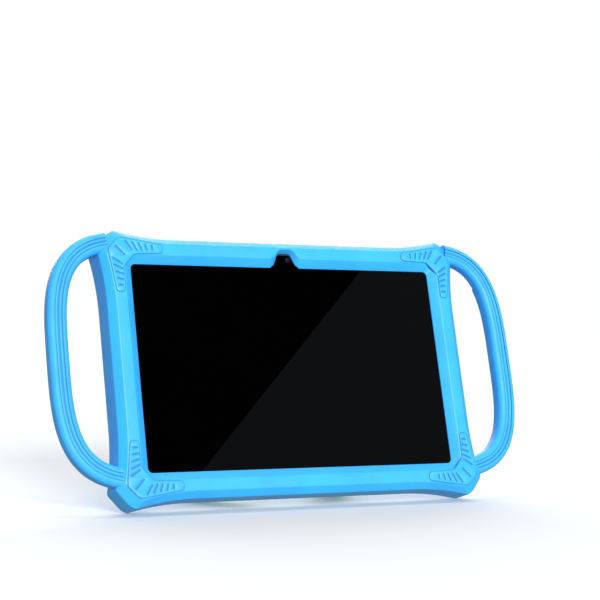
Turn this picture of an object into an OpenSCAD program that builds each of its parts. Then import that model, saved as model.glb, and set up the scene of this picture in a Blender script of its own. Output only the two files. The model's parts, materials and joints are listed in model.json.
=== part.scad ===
// A 7 inch children's tablet in a one-piece silicone bumper with two side handles, push-through
// bubbles on its back and a turning ring stand. It is modelled upright about the middle of the
// cover glass (X right, Y into the tablet, Z up), then leaned back onto its open ring.

/* [Tablet] */
// Width of the glass that shows inside the bumper
screen_w = 172; // [168:0.5:174]
// Height of the glass that shows inside the bumper
screen_h = 105.6; // [102:0.2:107]
// Width of the tablet itself, under the bumper's lip
tablet_w = 186; // [184:0.5:187]
// Height of the tablet itself
tablet_h = 122.6; // [121.5:0.1:123]
// Thickness of the tablet itself
tablet_t = 9.4; // [9.2:0.1:9.6]

/* [Bumper] */
// Width of the bumper across the middle of its sides
case_w = 199.6; // [198:0.2:202]
// Height of the bumper at the middle of its long edges
case_h = 132.2; // [131:0.2:134]
// How far each corner stands out sideways
flare_side = 3.4; // [2:0.1:4]
// How far each corner stands out up and down
flare_end = 3.9; // [2:0.1:4.5]
// Height of the front rim over the glass
rim_h = 3.8; // [3:0.1:4.5]
// Height of the grip pads over the rim
pad_h = 0.5; // [0.3:0.1:0.8]

/* [Handles] */
// Width of a handle, seen from the front
handle_w = 10; // [9:0.5:11]
// Thickness of a handle
handle_t = 9.6; // [9:0.1:10]
// How far a handle's centre line reaches from the middle of the tablet
handle_reach = 126.6; // [124:0.2:130]
// Half height of a handle's centre line
handle_rise = 60.2; // [58:0.1:61]

/* [Bubbles] */
// Spacing of the bubbles along a row
bubble_pitch_x = 20.1; // [19.5:0.1:20.4]
// Spacing of the rows
bubble_pitch_z = 22; // [21:0.1:22.4]
// Radius of a bubble's dome
bubble_r = 7.3; // [6.8:0.1:7.5]
// Height of a dome over the panel
bubble_h = 4.4; // [3.5:0.1:5]
// How far a bubble is pressed in
bubble_travel = 3; // [2:0.1:3]

/* [Stand] */
// Outer radius of the stand's base
base_r = 49.6; // [49.4:0.1:50]
// Outer radius of the ring
ring_r = 47.4; // [47:0.1:47.5]
// Inner radius of the ring
ring_bore_r = 32; // [31.9:0.1:33]
// Radius of the turning disc
disc_r = 31.4; // [30.5:0.1:31.5]
// Width of the tongue that carries the ring
tongue_w = 31.6; // [30:0.1:31.8]
// Angle between the open ring and the back of the tablet
ring_open = 87; // [86:0.5:90]

/* [Hidden] */
bubble_count = 22;
$fn = 64;
e = 0.01;

// Colours
sky = [0.16, 0.62, 0.96];
pale_sky = [0.36, 0.78, 1.0];
deep_sky = [0.10, 0.47, 0.86];
lime = [0.62, 0.86, 0.10];
near_black = [0.05, 0.05, 0.055];
steel = [0.72, 0.73, 0.75];

// Depths, from the face of the glass towards the back
wall_front = -0.3;
wall_back = 13;
back_rim = 16.5;
panel_front = 13;
panel_back = 14.5;
bevel_x = 0.962;
bevel_z = 0.948;
fit = 0.15;
glass_t = 1.1;
shell_wall = 1.6;

// The bumper's outline: straight mid-sides that sweep out to corners cut off at an angle
side_start = 30;
end_start = 62;
corner_x = case_w / 2 + flare_side;
corner_z = case_h / 2 + flare_end;
cut_side_z = 60.8;
cut_end_x = 93.8;
function sweep_out(v, from, to) = v <= from ? 0 : pow((v - from) / (to - from), 2);
function quarter() = concat(
  [for (i = [0:5]) let (x = end_start + (cut_end_x - end_start) * i / 5)
    [x, case_h / 2 + flare_end * sweep_out(x, end_start, cut_end_x)]],
  [[cut_end_x + 3.1, corner_z - 1.6]],
  [for (i = [0:5]) let (z = cut_side_z - (cut_side_z - side_start) * i / 5)
    [case_w / 2 + flare_side * sweep_out(z, side_start, cut_side_z), z]]
);
function backwards(p) = [for (i = [len(p) - 1:-1:0]) p[i]];
function turned(p, sx, sz) = [for (q = p) [sx * q[0], sz * q[1]]];
function outline() = concat(
  quarter(),
  backwards(turned(quarter(), 1, -1)),
  turned(quarter(), -1, -1),
  backwards(turned(quarter(), -1, 1))
);
function rounded(w, h, r, n = 6) = [
  for (c = [[1, 1, 0], [-1, 1, 90], [-1, -1, 180], [1, -1, 270]])
    for (i = [0:n])
      let (a = c[2] + 90 * i / n)
        [c[0] * (w / 2 - r) + r * cos(a), c[1] * (h / 2 - r) + r * sin(a)]
];

// The handles' centre line is a superellipse
handle_power = 3.4;
handle_origin_x = 78;
handle_mid_z = 4.3;
handle_mid_y = 1.65;
handle_corner_r = 3;
handle_steps = 38;
handle_end_deg = 77;
groove_offsets = [-2, 0, 2];
groove_half = 0.45;

// The bubbles' places
function bubble_name(i) = str("bubble_", i < 9 ? "0" : "", i + 1);
bubbles_in_row = [6, 4, 4, 4, 4];
function bubble_row(i) = i < 6 ? 0 : i < 10 ? 1 : i < 14 ? 2 : i < 18 ? 3 : 4;
function bubble_column(i) =
  let (r = bubble_row(i), first = [0, 6, 10, 14, 18][r], k = i - first, half = bubbles_in_row[r] / 2)
    k < half ? -(3.8 - k) : 1.8 + (3 - half) + (k - half);
function bubble_at(i) = [bubble_column(i) * bubble_pitch_x, (2 - bubble_row(i)) * bubble_pitch_z];
hole_r = 8.6;

// The grip pads' slots
slot_long = 5.6;
slot_shorter = 0.7;
slot_pitch = 3.5;

// The recess for the bubble panel, and its mouth at the back rim
recess = [175, 111];
mouth = [181, 117];
skin_t = 1.2;

// The stand
disc_z = -6.5;
floor_front = 11.9;
floor_back = 13;
base_rim_back = 16.3;
base_bore_r = 48.5;
ring_front = 13.6;
ring_back = 18.2;
ring_bevel = 0.8;
disc_back = 18;
tongue_back = 18.4;
ring_gap = 16.1;
pin_out = 41.1;
pin_y = 16.7;
pin_r = 0.9;
pin_fit = 0.04;
pin_inner = 10.4;
pin_outer = 19;
heel_r = 3.5;
end_wall = 4;
screw_r = 2.5;

// How the tablet stands: on its two lower corners and the far edge of the ring
foot = [wall_back, -corner_z];
pin_z = disc_z - pin_out;
far = pin_out + ring_r - ring_bevel;
back_of_ring = ring_back - pin_y;
tip = [
  pin_y + far * sin(ring_open) + back_of_ring * cos(ring_open),
  pin_z + far * cos(ring_open) - back_of_ring * sin(ring_open)
];
lean = atan((tip[1] - foot[1]) / (tip[0] - foot[0]));
rise = foot[0] * sin(lean) - foot[1] * cos(lean);
front_low = [-rim_h - pad_h, -corner_z * bevel_z + 0.9];
front_of_ring = ring_front + 0.6 - pin_y;
ring_edge = [
  pin_y + (pin_out + ring_r) * sin(ring_open) + front_of_ring * cos(ring_open),
  pin_z + (pin_out + ring_r) * cos(ring_open) - front_of_ring * sin(ring_open)
];
function leaned_y(p) = p[0] * cos(lean) + p[1] * sin(lean);
shift = -(leaned_y(front_low) + leaned_y(ring_edge)) / 2;

// The camera opening, the speaker window, the port cut-out and the top buttons
camera_z = 53.9;
window_at = [-64, -36];
window = [22, 8.4];
port_z = -15;
port_w = 16.8;
socket_y = 5.2;
usb_z = -11;
jack_z = -19.6;
jack_r = 1.8;
lens_x = -5;
flash_x = 8;
power_x = 78;
volume_x = 48;
power_l = 10;
volume_l = 24;
key_t = 2.6;
key_y = 5;
key_top = 61.9;

// Stands the upright model on its feet
module standing() translate([0, shift, rise]) rotate([-lean, 0, 0]) children();
// Extrudes a front-view shape from one depth to another
module depth(y0, y1) translate([0, y0, 0]) rotate([-90, 0, 0]) linear_extrude(y1 - y0) mirror([0, 1]) children();
// The same, narrowing towards the back, or towards the front
module narrow_back(y0, y1, s) translate([0, y0, 0]) rotate([-90, 0, 0])
  linear_extrude(y1 - y0, scale = s, slices = 1) mirror([0, 1]) children();
module narrow_front(y0, y1, s) translate([0, y1, 0]) rotate([90, 0, 0])
  linear_extrude(y1 - y0, scale = s, slices = 1) children();
// Turns a profile of [radius, depth] points about the Y axis
module spun(p) rotate([-90, 0, 0]) rotate_extrude() polygon(p);
module block(x, y, z) translate([x[0], y[0], z[0]]) cube([x[1] - x[0], y[1] - y[0], z[1] - z[0]]);
module sheet(w, h, r, y0, y1) depth(y0, y1) polygon(rounded(w, h, r));
module flipped(side, end) mirror([side < 0 ? 1 : 0, 0, 0]) mirror([0, 0, end < 0 ? 1 : 0]) children();
module pill(w, h) {
  square([w - h, h], center = true);
  for (s = [-1, 1]) translate([s * (w - h) / 2, 0]) circle(h / 2);
}

// One grip pad: a bent bar with a cut corner, on the front (dir -1) or the back (dir 1)
module grip_pad(face, dir) {
  inset_x = corner_x * bevel_x - 0.9;
  inset_z = corner_z * bevel_z - 0.9;
  y0 = dir < 0 ? face - pad_h : face - 1;
  y_slot = dir < 0 ? face - 2 : face;
  difference() {
    depth(y0, y0 + pad_h + 1) polygon([
      [inset_x - 29, inset_z - 3.4], [inset_x - 7, inset_z], [inset_x - 4.8, inset_z - 0.9],
      [inset_x - 0.2, inset_z - 6.2], [inset_x - 0.4, inset_z - 8.4], [inset_x - 3.2, inset_z - 28],
      [inset_x - 7.3, inset_z - 28], [inset_x - 7.4, inset_z - 15],
      [inset_x - 13.5, inset_z - 8.3], [inset_x - 29, inset_z - 7.7]
    ]);
    for (i = [0:4]) {
      l = slot_long - i * slot_shorter;
      translate([inset_x - 9.5 - i * slot_pitch, y_slot, inset_z - 1.8 - i * 0.5 - l]) cube([0.8, 2, l]);
      translate([inset_x - 1.8 - i * 0.5 - l, y_slot, inset_z - 10.5 - i * slot_pitch]) cube([l, 2, 0.8]);
    }
  }
}

module notch() {
  polygon([[-8.6, 50], [-8.6, 52.9], [-6.2, 55], [-4.2, 60], [-3.2, 61], [3.2, 61], [4.2, 60], [6.2, 55], [8.6, 52.9], [8.6, 50]]);
}

module bumper_body() difference() {
  union() {
    depth(wall_front, wall_back) polygon(outline());
    narrow_front(-rim_h, wall_front, [bevel_x, bevel_z]) polygon(outline());
    narrow_back(wall_back, back_rim, [bevel_x, bevel_z]) polygon(outline());
  }
  narrow_front(-rim_h - e, e, [(screen_w + 8.4) / screen_w, (screen_h + 8.2) / screen_h])
    polygon(rounded(screen_w, screen_h, 2.5));
  depth(-rim_h - 1, 1) notch();
  sheet(tablet_w + 2 * fit, tablet_h + 2 * fit, 8, 0, tablet_t);
  sheet(170, 106, 6, tablet_t - e, panel_front + e);
  sheet(recess[0], recess[1], 5, panel_front, panel_back);
  sheet(mouth[0], mouth[1], 7, panel_back - e, back_rim + 1);
  block([tablet_w / 2 - 4, 112], [1.5, 20], [port_z - port_w / 2, port_z + port_w / 2]);
  depth(floor_front - 0.1, back_rim + 1) translate([0, disc_z]) circle(base_r + 0.1);
  for (k = [[power_x, power_l], [volume_x, volume_l]])
    block([k[0] - k[1] / 2 - 0.25, k[0] + k[1] / 2 + 0.25], [key_y - 2.75, key_y + 2.75], [60, 72]);
}
module bumper_case() color(pale_sky) standing() difference() {
  union() {
    bumper_body();
    depth(tablet_t, back_rim + 1.2) translate([0, camera_z]) pill(38, 21.4);
    for (side = [-1, 1]) for (end = [-1, 1]) flipped(side, end) {
      grip_pad(-rim_h, -1);
      grip_pad(back_rim, 1);
    }
  }
  depth(tablet_t - 1, back_rim + 2) translate([0, camera_z]) pill(27.4, 15.6);
}

// A handle's cross-section: a rounded bar with grip grooves on its front and back
function bar_corner(sx, sy, from) = [for (i = [0:3]) let (a = from + 90 * i / 3)
  [sx * (handle_w / 2 - handle_corner_r) + handle_corner_r * cos(a),
   sy * (handle_t / 2 - handle_corner_r) + handle_corner_r * sin(a)]];
function bar_grooves(sy) = [for (g = groove_offsets) each
  [[-sy * g + sy * groove_half, sy * handle_t / 2], [-sy * g, sy * (handle_t / 2 - groove_half)],
   [-sy * g - sy * groove_half, sy * handle_t / 2]]];
function bar() = concat(
  bar_corner(1, 1, 0), bar_grooves(1), bar_corner(-1, 1, 90),
  bar_corner(-1, -1, 180), bar_grooves(-1), bar_corner(1, -1, 270)
);
function signed_pow(v, p) = sign(v) * pow(abs(v), p);
function handle_point(t) = [
  handle_origin_x + (handle_reach - handle_origin_x) * pow(cos(t), 2 / handle_power),
  handle_mid_z + handle_rise * signed_pow(sin(t), 2 / handle_power)
];
function handle_ring(t) =
  let (p = handle_point(t), d = handle_point(t + 0.5) - handle_point(t - 0.5), n = [d[1], -d[0]] / norm(d))
    [for (q = bar()) [p[0] + n[0] * q[0], handle_mid_y + q[1], p[1] + n[1] * q[0]]];
module handle_bar() {
  n = len(bar());
  polyhedron(
    points = [for (i = [0:handle_steps]) each handle_ring(handle_end_deg * (2 * i / handle_steps - 1))],
    faces = concat(
      [[for (k = [0:n - 1]) k]],
      [for (i = [0:handle_steps - 1]) for (k = [0:n - 1])
        let (a = i * n + k, b = i * n + (k + 1) % n) [b, a, a + n, b + n]],
      [[for (k = [n - 1:-1:0]) handle_steps * n + k]]
    )
  );
}
module left_handle() color(sky) standing() mirror([1, 0, 0]) handle_bar();
module right_handle() color(sky) standing() handle_bar();

// Whatever stands over the panel cuts into the bubbles beside it
module bubble_keep_out(gap) {
  translate([0, disc_z]) circle(base_r + gap);
  translate(window_at) square([window[0] + 4 + 2 * gap, window[1] + 4 + 2 * gap], center = true);
}
module popper_panel() color(deep_sky) standing() {
  groove = [0.8, 0.4];
  difference() {
    sheet(recess[0], recess[1], 5, panel_front, panel_back);
    depth(panel_front - 1, panel_back + 1) {
      translate([0, disc_z]) circle(base_r);
      translate([0, camera_z]) pill(38, 21.4);
      translate(window_at) square(window, center = true);
      for (i = [0:bubble_count - 1]) difference() {
        translate(bubble_at(i)) circle(hole_r);
        bubble_keep_out(0);
      }
    }
    for (row = [-1.5, -0.5, 0.5, 1.5]) for (side = [-1, 1])
      let (z = row * bubble_pitch_z, x = sqrt(pow(base_r + 2, 2) - pow(z - disc_z, 2)))
        block([side > 0 ? x : -86, side > 0 ? 86 : -x], [panel_back - groove[1], panel_back + 1],
          [z - groove[0] / 2, z + groove[0] / 2]);
  }
  depth(panel_back, panel_back + 1) difference() {
    translate(window_at) square(window + [4, 4], center = true);
    translate(window_at) square(window, center = true);
  }
}

// A bubble: a thin dome on a flat skirt, free to be pressed towards the tablet
module bubble(i) color(sky) standing() {
  at = bubble_at(i);
  outer = hole_r - 0.12;
  dome = sphere_radius(bubble_r, bubble_h);
  difference() {
    translate([at[0], 0, at[1]]) difference() {
      union() {
        depth(panel_front, panel_front + skin_t) circle(outer);
        intersection() {
          translate([0, panel_front + skin_t + bubble_h - dome, 0]) sphere(dome);
          depth(panel_front, panel_back + bubble_h + 1) circle(bubble_r);
        }
      }
      intersection() {
        translate([0, panel_front + skin_t + bubble_h - dome, 0]) sphere(dome - skin_t);
        depth(panel_front - 1, panel_back + bubble_h) circle(bubble_r - skin_t);
      }
    }
    depth(panel_front - 1, panel_back + bubble_h + 1) bubble_keep_out(0.3);
  }
}
function sphere_radius(r, h) = (r * r + h * h) / (2 * h);

// Soft pads in the bumper's top wall press the tablet's own keys
module pad_block(x, l) block([x - l / 2, x + l / 2], [key_y - 2.5, key_y + 2.5], [key_top, case_h / 2 - 0.4]);
module power_pad() color(sky) standing() pad_block(power_x, power_l);
module volume_pad() color(sky) standing() pad_block(volume_x, volume_l);
module key(x, l) {
  depth(key_y - key_t / 2, key_y + key_t / 2) translate([x, (key_top + 59.4) / 2]) square([l, key_top - 59.4], center = true);
}
module power_button() color(near_black) standing() key(power_x, power_l - 3);
module volume_rocker() color(near_black) standing() key(volume_x, volume_l - 4);

// The stand's dished base, sunk into the panel
module stand_base() color(sky) standing() translate([0, 0, disc_z]) spun([
  [screw_r + 0.06, floor_front], [base_r, floor_front], [base_r, base_rim_back - 0.6],
  [base_r - 0.6, base_rim_back], [base_bore_r + 0.6, base_rim_back], [base_bore_r, base_rim_back - 0.6],
  [base_bore_r, floor_back], [screw_r + 0.06, floor_back]
]);

// The tongue crosses the ring's track and carries its hinge; it dips before it meets the disc
module tongue() difference() {
  depth(ring_front, tongue_back) intersection() {
    translate([0, -30]) square([tongue_w, 60], center = true);
    circle(ring_r - 0.4);
  }
  depth(ring_front - 1, tongue_back + 1) circle(disc_r - 6);
  spun([[disc_r - 7, disc_back - 0.9], [disc_r + 0.6, disc_back - 0.9], [disc_r + 2.4, tongue_back + e],
    [disc_r - 7, tongue_back + e]]);
}
module stand_disc() color(sky) standing() translate([0, 0, disc_z]) difference() {
  union() {
    spun([
      [0, floor_back + 0.15], [9, floor_back + 0.15], [9, 16], [disc_r - 1.8, 16],
      [disc_r - 1.8, ring_front], [disc_r, ring_front], [disc_r, disc_back - 0.6],
      [disc_r - 0.6, disc_back], [0, disc_back]
    ]);
    tongue();
  }
  translate([0, floor_back, 0]) rotate([-90, 0, 0]) cylinder(h = 4, r = screw_r);
  for (s = [-1, 1]) translate([s * pin_inner, pin_y, -pin_out]) rotate([0, s * 90, 0]) cylinder(h = 7, r = pin_r);
  translate([0, disc_back + 4.4, disc_r]) rotate([90, 0, 0]) cylinder(h = 5.4, r = 9);
}
// Turns the ring out about its hinge, from folded flat to open
module opened() translate([0, pin_y, pin_z]) rotate([-ring_open, 0, 0]) translate([0, -pin_y, -pin_z]) children();
module stand_ring() color(lime) standing() opened() translate([0, 0, disc_z]) difference() {
  spun([
    [ring_bore_r + ring_bevel, ring_front], [ring_r - 0.6, ring_front], [ring_r, ring_front + 0.6],
    [ring_r, ring_back - ring_bevel], [ring_r - ring_bevel, ring_back],
    [ring_bore_r + 0.6, ring_back - 0.2], [ring_bore_r, ring_back - 0.8], [ring_bore_r, ring_front + ring_bevel]
  ]);
  difference() {
    spun([
      [ring_bore_r + 1.8, ring_back + 1], [ring_bore_r + 1.8, ring_back - 0.5], [ring_bore_r + 3.2, ring_back - 1.6],
      [ring_bore_r + 5.4, ring_back - 2.1], [ring_r - 3.6, ring_back - 1.3], [ring_r - 1.7, ring_back - 0.1],
      [ring_r - 1.7, ring_back + 1]
    ]);
    block([-ring_gap - end_wall, ring_gap + end_wall], [ring_front, ring_back + 2], [-60, 0]);
  }
  block([-ring_gap, ring_gap], [ring_front - 1, ring_back + 1], [-60, 0]);
  difference() {
    block([-40, 40], [ring_front - 1, ring_back + 1], [-60, -pin_out]);
    translate([-41, pin_y, -pin_out]) rotate([0, 90, 0]) cylinder(h = 82, r = heel_r);
  }
  for (s = [-1, 1]) translate([s * (ring_gap - 1), pin_y, -pin_out]) rotate([0, s * 90, 0])
    cylinder(h = pin_outer + 0.2 - ring_gap + 1, r = pin_r + pin_fit);
}
module hinge_pins() color(steel) standing() translate([0, 0, disc_z])
  for (s = [-1, 1]) translate([s * pin_inner, pin_y, -pin_out]) rotate([0, s * 90, 0])
    cylinder(h = pin_outer - pin_inner, r = pin_r);

// A shoulder screw holds the disc to the base and lets it turn
module swivel_screw() color(steel) standing() translate([0, 0, disc_z]) difference() {
  spun([[0, 10.1], [5.2, 10.1], [5.5, 10.4], [5.5, 11.4], [screw_r, 11.4], [screw_r, floor_back + 4], [0, floor_back + 4]]);
  translate([0, 9, 0]) rotate([-90, 0, 0]) cylinder(h = 1.9, r = 1.25, $fn = 6);
}
module wave_washer() color(steel) standing() translate([0, 0, disc_z])
  spun([[screw_r + 0.3, 11.45], [5.2, 11.45], [5.2, 11.85], [screw_r + 0.3, 11.85]]);

// The tablet itself
module side_cuts() {
  translate([tablet_w / 2 - 16, socket_y, jack_z]) rotate([0, 90, 0]) cylinder(h = 20, r = 3.05);
  translate([tablet_w / 2 - 9, socket_y, usb_z]) rotate([0, 90, 0]) linear_extrude(12) pill(9.3, 3.5);
}
module key_cuts() for (k = [[power_x, power_l - 3], [volume_x, volume_l - 4]])
  block([k[0] - k[1] / 2 - 0.2, k[0] + k[1] / 2 + 0.2], [key_y - key_t / 2 - 0.15, key_y + key_t / 2 + 0.15], [57, 64]);
module rear_shell() color(near_black) standing() difference() {
  sheet(tablet_w, tablet_h, 7.8, 2.2, tablet_t);
  sheet(tablet_w - 2 * shell_wall, tablet_h - 2 * shell_wall, 6.2, 2, tablet_t - 1.4);
  side_cuts();
  key_cuts();
  translate([lens_x, tablet_t - 3, camera_z]) rotate([-90, 0, 0]) cylinder(h = 4, r = 3.6);
  translate([flash_x, tablet_t - 3, camera_z]) rotate([-90, 0, 0]) cylinder(h = 4, r = 1.8);
  depth(tablet_t - 2, tablet_t + 1) translate(window_at) square([18, 5], center = true);
}
module mid_frame() color(near_black) standing() difference() {
  union() {
    sheet(tablet_w, tablet_h, 7.8, 0, 2.2);
    sheet(tablet_w - 2 * shell_wall - 0.2, tablet_h - 2 * shell_wall - 0.2, 6.1, 2.2, 4.2);
  }
  sheet(tablet_w - 3, tablet_h - 3, 6.4, -1, glass_t);
  sheet(155.8, 98.6, 2, glass_t - e, 3.4);
  sheet(150, 88, 4, 3, 5);
  block([-4, 8.6], [0, 4.5], [53, 59.8]);
  side_cuts();
  key_cuts();
}
module cover_glass() color(near_black) standing() sheet(tablet_w - 3.2, tablet_h - 3.2, 6.3, 0, glass_t);
module lcd_panel() color([0.2, 0.2, 0.22]) standing() sheet(155.2, 98, 1.8, glass_t, 3.3);
module battery() color([0.75, 0.76, 0.78]) standing() translate([-22, 0, 2]) sheet(96, 62, 2, 4.3, 7.4);
module main_board() color([0.05, 0.32, 0.16]) standing() difference() {
  translate([54, 0, -6]) sheet(44, 84, 2, 5.8, 6.6);
  for (z = [-44, 32]) translate([36, 5, z]) rotate([-90, 0, 0]) cylinder(h = 3, r = 1.1);
}
module shield_cans() color(steel) standing() {
  block([40, 58], [4.4, 5.8], [-2, 20]);
  block([44, 62], [4.4, 5.8], [-34, -12]);
}
module speaker() color(near_black) standing() translate([window_at[0], 0, window_at[1]]) sheet(24, 11, 2, 4.6, tablet_t - 1.4);
module speaker_mesh() color(near_black) standing() depth(12.2, 12.7) translate(window_at) difference() {
  square([25, 11.4], center = true);
  for (i = [-4:4]) for (j = [-1, 1]) translate([i * 2.3, j * 1.6]) square([1.3, 1.8], center = true);
}
module front_camera() color(near_black) standing() {
  block([-1, 5.6], [glass_t, 4.1], [54.2, 59.4]);
}
module rear_camera() color(near_black) standing() difference() {
  union() {
    block([lens_x - 4, lens_x + 4], [4.4, tablet_t - 1.5], [camera_z - 4, camera_z + 4]);
    translate([lens_x, tablet_t - 1.6, camera_z]) rotate([-90, 0, 0]) cylinder(h = 4.6, r = 3.4);
  }
  translate([lens_x, tablet_t + 1.9, camera_z]) rotate([-90, 0, 0]) cylinder(h = 3, r = 2.2);
}
module rear_lens() color([0.1, 0.08, 0.2]) standing()
  translate([lens_x, tablet_t + 1.9, camera_z]) rotate([-90, 0, 0]) cylinder(h = 0.8, r = 2.15);
module flash_led() color([0.95, 0.9, 0.6]) standing()
  translate([flash_x, tablet_t - 1, camera_z]) rotate([-90, 0, 0]) cylinder(h = 3.4, r = 1.5);
module camera_plate() color(near_black) standing() difference() {
  depth(12.6, 14.2) translate([0, camera_z]) pill(27.2, 15.4);
  translate([lens_x, 12, camera_z]) rotate([-90, 0, 0]) cylinder(h = 3, r = 3);
  translate([flash_x, 12, camera_z]) rotate([-90, 0, 0]) cylinder(h = 3, r = 1.2);
}
module usb_port() color(steel) standing() translate([tablet_w / 2 - 7.6, socket_y, usb_z]) rotate([0, 90, 0]) difference() {
  linear_extrude(7.2) pill(8.9, 3.1);
  translate([0, 0, 1]) linear_extrude(7) pill(8.3, 2.5);
}
module headphone_jack() color(near_black) standing()
  translate([tablet_w / 2 - 15, socket_y, jack_z]) rotate([0, 90, 0]) difference() {
    cylinder(h = 14.6, r = 3);
    translate([0, 0, 1]) cylinder(h = 15, r = jack_r);
  }
module display_flex() color([0.55, 0.33, 0.1]) standing() {
  block([52, 66], [4.24, 4.36], [-47, -36]);
  block([52, 66], [4.36, 5.75], [-36.2, -36]);
}
module battery_lead() color([0.7, 0.1, 0.1]) standing() block([26, 36], [4.9, 5.7], [14, 17.5]);
module wifi_antenna() color([0.55, 0.33, 0.1]) standing() block([-86, -62], [tablet_t - 1.6, tablet_t - 1.4], [30, 42]);
module tablet_screws() color(steel) standing() for (x = [-86, 86]) for (z = [-48, 0, 48])
  translate([x, 2.6, z]) rotate([-90, 0, 0]) {
    cylinder(h = 4.8, r = 0.8);
    cylinder(h = 0.8, r = 1.6);
  }

bumper_case();
left_handle();
right_handle();
popper_panel();
for (i = [0:bubble_count - 1]) bubble(i);
power_pad();
volume_pad();
stand_base();
stand_disc();
stand_ring();
hinge_pins();
swivel_screw();
wave_washer();
rear_shell();
mid_frame();
cover_glass();
lcd_panel();
battery();
main_board();
shield_cans();
speaker();
speaker_mesh();
front_camera();
rear_camera();
rear_lens();
flash_led();
camera_plate();
power_button();
volume_rocker();
usb_port();
headphone_jack();
display_flex();
battery_lead();
wifi_antenna();
tablet_screws();
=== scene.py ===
"""The looks of a 7 inch children's tablet: silicone bumper, handles, push bubbles and ring stand."""

import json
import math

import bmesh
import bpy
from mathutils import Matrix, Vector
from mathutils.geometry import tessellate_polygon


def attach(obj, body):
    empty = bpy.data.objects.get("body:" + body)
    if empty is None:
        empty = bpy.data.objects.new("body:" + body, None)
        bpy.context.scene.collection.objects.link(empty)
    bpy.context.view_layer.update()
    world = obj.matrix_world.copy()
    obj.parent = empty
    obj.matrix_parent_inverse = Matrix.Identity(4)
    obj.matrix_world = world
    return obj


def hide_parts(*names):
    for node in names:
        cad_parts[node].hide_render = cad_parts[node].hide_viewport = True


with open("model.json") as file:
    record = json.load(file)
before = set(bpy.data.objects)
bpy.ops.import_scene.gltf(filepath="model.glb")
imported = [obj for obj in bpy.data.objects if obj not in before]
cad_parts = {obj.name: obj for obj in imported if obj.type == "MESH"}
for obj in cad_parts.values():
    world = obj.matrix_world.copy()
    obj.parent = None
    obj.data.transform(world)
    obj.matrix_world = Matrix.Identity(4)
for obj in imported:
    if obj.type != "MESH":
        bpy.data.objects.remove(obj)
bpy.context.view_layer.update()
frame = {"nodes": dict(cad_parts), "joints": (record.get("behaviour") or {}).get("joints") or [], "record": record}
record = frame["record"]
joints = {j["name"]: j for j in frame["joints"]}

MM = 0.001

# The tablet's own frame, in millimetres: X right, Y into the tablet from its glass, Z up.
DISC_Z = -6.5
SWIVEL_Y = 15
axis = Vector(joints["stand_swivel"]["axis"]).normalized()
turn = Matrix(((1, 0, 0), (0, axis.y, -axis.z), (0, axis.z, axis.y)))
spot = Vector(joints["stand_swivel"]["pos_m"]) - turn @ Vector((0, SWIVEL_Y * MM, DISC_Z * MM))
TO_ROW = Matrix.Translation(spot) @ turn.to_4x4() @ Matrix.Scale(MM, 4)

# Case
CASE_W, CASE_H = 199.6, 132.2
FLARE_SIDE, FLARE_END = 3.4, 3.9
SIDE_START, END_START = 30, 62
RIM_Y, EDGE_Y, WALL_Y, BACK_Y = -3.8, -0.3, 13, 16.5
BEVEL_X, BEVEL_Z = 0.962, 0.948
PANEL_Y = 14.5
SCREEN_W, SCREEN_H, TABLET_T = 172, 105.6, 9.4
PAD_H = 0.5
PAD_ARM_X, PAD_ARM_Z = 29, 28
PAD_IN = 0.9
SLOTS, SLOT_PITCH, SLOT_LONG, SLOT_SHORTER = 5, 3.5, 6.2, 0.85

# Handles
HANDLE_POWER = 3.4
HANDLE_START_X, HANDLE_REACH, HANDLE_RISE = 78, 126.6, 60.2
HANDLE_MID_Z, HANDLE_MID_Y = 4.3, 1.65
HANDLE_W, HANDLE_T = 10, 9.6
HANDLE_END = 77
HANDLE_CORNER = 3.0
HANDLE_BACK, HANDLE_STEP, HANDLE_STEP_AT = 6.45, 3, 46
GROOVES, GROOVE_EDGE = (-2.0, 0.0, 2.0), ((0.75, 0), (0.5, 0.12), (0.28, 0.65))

# Bubbles
PITCH_X, PITCH_Z = 20.1, 22
ROWS = [
    [-3.8, -2.8, -1.8, 1.8, 2.8, 3.8],
    [-3.8, -2.8, 2.8, 3.8],
    [-3.8, -2.8, 2.8, 3.8],
    [-3.8, -2.8, 2.8, 3.8],
    [-3.8, -2.8, 2.8, 3.8],
]
HOLE_R, SKIRT_R, DOME_R, DOME_H = 8.6, 8.42, 7.3, 4.3
SKIRT_Y = 14.2

# Stand
BASE_R, BASE_BORE_R, BASE_RIM_Y, FLOOR_Y = 49.6, 48.5, 16.3, 13
RING_R, RING_BORE_R, RING_FRONT, RING_BACK = 47.4, 32, 13.6, 18.2
DISC_R, DISC_BACK = 31.4, 18
THUMB_R, THUMB_DEPTH = 9.0, 1.7
TONGUE_W, TONGUE_BACK = 31.6, 18.4
RING_GAP, END_WALL = 16.1, 4
PIN_OUT, PIN_Y, HEEL_R = 41.1, 16.7, 3.5
RING_OPEN = math.radians(joints["ring_fold"]["range_deg"][1])

# Camera and speaker openings
CAMERA_Z = 53.9
COLLAR, COLLAR_HOLE, COLLAR_BACK = (38, 21.4), (27.4, 15.6), 17.7
WINDOW_AT, WINDOW = (-64, -36), (22, 8.4)
PORT_Z, PORT_W = -15, 16.8
KEYS = {"power": (78, 10), "volume": (48, 24)}
KEY_Y, KEY_T = 5, 5


# The set round the toy, in metres
FLOOR_SIZE, SURROUND_R = 8.8, 9

# The camera, in the tablet's frame: its place, two of its directions and its focal length in mm
CAMERA_AT = Vector((-378.5, -732.2, -178.8))
CAMERA_RIGHT, CAMERA_FORWARD = Vector((0.8924, -0.4379, -0.1094)), Vector((0.4510, 0.8565, 0.2510))
CAMERA_LENS = 98.28


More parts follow.
